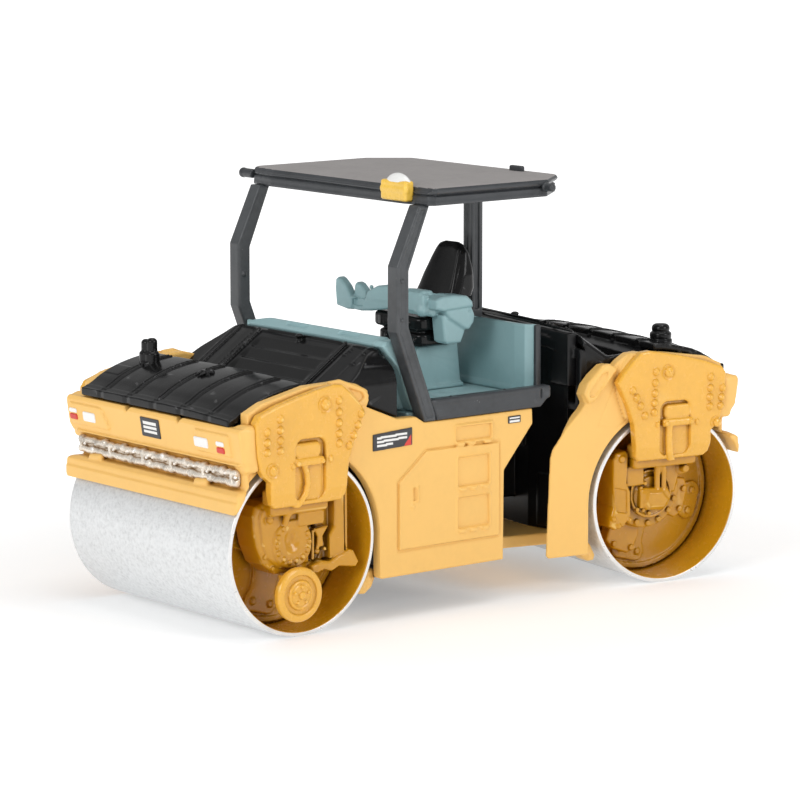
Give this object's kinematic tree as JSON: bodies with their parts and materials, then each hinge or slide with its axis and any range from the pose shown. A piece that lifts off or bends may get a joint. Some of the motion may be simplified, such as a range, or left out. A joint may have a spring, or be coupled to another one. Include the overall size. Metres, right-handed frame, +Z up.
{
  "type": "toy road roller",
  "caption": "Small-scale articulated toy tandem road roller with two rolling drums, open roofed operator platform and swivelling seat",
  "frame": {"origin": "centre of the bounding box's footprint, on the ground under the drums, at rest", "axes": "+Z up; -Y towards the front of the machine; +X is the machine's side seen in the picture. The front frame is square to the axes and the rear frame stands 9.1 degrees round the steering pin."},
  "size_m": [0.0408, 0.0766, 0.0503],
  "materials": {
    "body_yellow": "satin enamel over zinc die casting",
    "casting_gold": "semi-gloss moulded, self-coloured golden yellow",
    "hub_ochre": "satin moulded ochre",
    "drum_silver": "fine metallic paint with a sandy grain",
    "frame_charcoal": "satin charcoal with fine grain",
    "engine_black": "satin black",
    "hood_black": "semi-gloss black",
    "platform_grey_blue": "satin pale grey-blue",
    "roof_grey": "matte warm grey with fine speckle",
    "steel_pin": "turned steel",
    "rail_silver": "silver paint",
    "lens_white": "gloss white print",
    "lens_red": "gloss red print",
    "badge_ink": "flat printed label with no lettering",
    "receiver_yellow": "semi-gloss yellow"
  },
  "bodies": {
    "front_frame": {"front_chassis": "frame_charcoal", "belly_plate": "frame_charcoal", "front_side_panel_right": "body_yellow", "front_side_panel_left": "body_yellow", "front_fascia": "casting_gold", "front_bracket_right": "casting_gold", "front_bracket_left": "casting_gold", "front_drive_right": "hub_ochre", "front_drive_left": "hub_ochre", "edge_wheel": "casting_gold", "front_axle": "steel_pin", "front_hood": "hood_black", "hood_latch": "hood_black", "exhaust_stub": "hood_black", "front_spray_bar": "rail_silver", "front_lamp_lenses": "lens_white", "front_signal_lenses": "lens_red", "front_badge": "badge_ink", "side_badges": "badge_ink", "front_cowl": "hood_black", "dash_trim": "platform_grey_blue", "platform_floor": "platform_grey_blue", "platform_rear_wall": "platform_grey_blue", "sill_right": "frame_charcoal", "sill_left": "frame_charcoal", "roof_post_right": "frame_charcoal", "roof_post_left": "frame_charcoal", "roof_post_rear": "frame_charcoal", "roof": "roof_grey", "roof_fittings": "frame_charcoal", "receiver_base": "receiver_yellow", "receiver_dome": "lens_white", "drum_scrapers_front": "body_yellow", "seat_pedestal": "platform_grey_blue", "hitch_pin": "steel_pin", "chassis_screws": "steel_pin"},
    "front_drum": {"front_drum_shell": "drum_silver", "front_drum_hub_right": "hub_ochre", "front_drum_hub_left": "hub_ochre"},
    "seat": {"seat_swivel_pin": "steel_pin", "seat_cushion": "hood_black", "seat_backrest": "hood_black", "seat_console": "platform_grey_blue"},
    "rear_frame": {"rear_chassis": "engine_black", "rear_skirt_right": "body_yellow", "rear_skirt_left": "body_yellow", "rear_fascia": "casting_gold", "rear_bracket_right": "casting_gold", "rear_bracket_left": "casting_gold", "rear_drive_right": "hub_ochre", "rear_drive_left": "hub_ochre", "rear_axle": "steel_pin", "rear_hood": "hood_black", "rear_cowl": "hood_black", "rear_lamp_lenses": "lens_red", "filler_cap": "hood_black", "drum_scrapers_rear": "body_yellow"},
    "rear_drum": {"rear_drum_shell": "drum_silver", "rear_drum_hub_right": "hub_ochre", "rear_drum_hub_left": "hub_ochre"}
  },
  "joints": [
    {"name": "front_drum_roll", "type": "hinge", "parent": "front_frame", "child": "front_drum", "pos_m": [-0.00153, -0.02814, 0.01015], "axis": [1, 0, 0], "continuous": true},
    {"name": "articulation", "type": "hinge", "parent": "front_frame", "child": "rear_frame", "pos_m": [-0.00153, 0.00309, 0.0125], "axis": [0, 0, 1], "range_deg": [-10.9, 29.1]},
    {"name": "rear_drum_roll", "type": "hinge", "parent": "rear_frame", "child": "rear_drum", "pos_m": [0.00211, 0.02583, 0.01015], "axis": [0.9874, -0.1582, 0], "continuous": true},
    {"name": "seat_swivel", "type": "hinge", "parent": "front_frame", "child": "seat", "pos_m": [-0.00153, 0.00186, 0.0287], "axis": [0, 0, 1], "range_deg": [-15, 15]}
  ]
}
